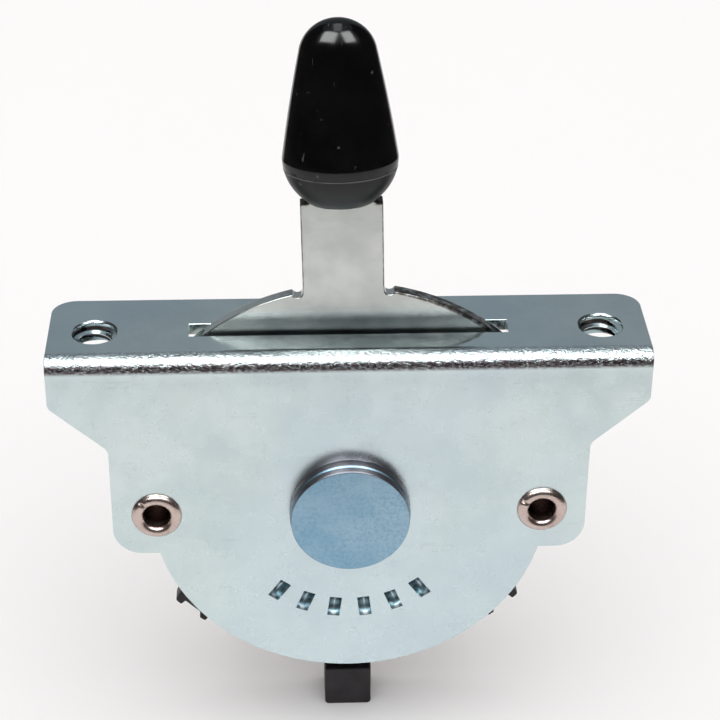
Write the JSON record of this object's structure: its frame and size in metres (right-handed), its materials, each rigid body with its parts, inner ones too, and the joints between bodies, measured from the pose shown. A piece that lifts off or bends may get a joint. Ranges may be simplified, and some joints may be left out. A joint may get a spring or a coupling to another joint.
{
  "type": "guitar pickup selector switch",
  "caption": "Lever-type pickup selector switch on a folded bracket with a lever slot, threaded mounting holes, a detent arc and a contact wafer with solder lugs behind.",
  "frame": {"origin": "midway between the two mounting holes, on the flange's top face", "axes": "+Z out of the flange's top face, the way the lever stands; +X along the flange; +Y to the rear, away from the bracket's front plate"},
  "size_m": [0.0488, 0.0155, 0.0654],
  "materials": {
    "zinc_plate": "bright zinc plate, pale bluish, faint stains and fine scratches",
    "blue_zinc": "blue zinc plate, satin",
    "satin_steel": "stamped steel, satin, grained",
    "turned_steel": "turned steel, zinc plated",
    "spring_steel": "spring steel, plain",
    "polished_ball": "polished steel",
    "nickel": "nickel plate, worn on the rolled edge",
    "tip_plastic": "moulded, gloss, handling marks",
    "wafer_black": "moulded, matt",
    "rotor_brown": "moulded phenolic, matt",
    "contact_metal": "tinned brass strip",
    "rivet_brass": "brass, headed"
  },
  "bodies": {
    "root": {"frame": "zinc_plate", "pivot_post": "blue_zinc", "pivot_bush": "turned_steel", "thrust_washer": "turned_steel", "retaining_ring": "spring_steel", "left_eyelet": "nickel", "right_eyelet": "nickel", "left_spacer": "turned_steel", "right_spacer": "turned_steel", "wafer": "wafer_black", "left_throw_1_terminal": "contact_metal", "left_throw_2_terminal": "contact_metal", "left_throw_3_terminal": "contact_metal", "left_common_terminal": "contact_metal", "right_throw_1_terminal": "contact_metal", "right_throw_2_terminal": "contact_metal", "right_throw_3_terminal": "contact_metal", "right_common_terminal": "contact_metal", "terminal_rivets": "rivet_brass"},
    "lever_body": {"lever": "satin_steel", "lever_tip": "tip_plastic", "detent_clip": "spring_steel", "rotor": "rotor_brown", "left_blade": "contact_metal", "right_blade": "contact_metal"},
    "ball_body": {"detent_ball": "polished_ball"}
  },
  "joints": [
    {"name": "lever_swing", "type": "hinge", "parent": "root", "child": "lever_body", "pos_m": [0, 0, -0.01485], "axis": [0, 1, 0], "range_deg": [-28.8, 28.8]},
    {"name": "ball_press", "type": "slide", "parent": "lever_body", "child": "ball_body", "axis": [0, 1, 0], "range_m": [-0.00022, 0], "stiffness_N_per_m": 50, "springref_m": -0.00022}
  ]
}
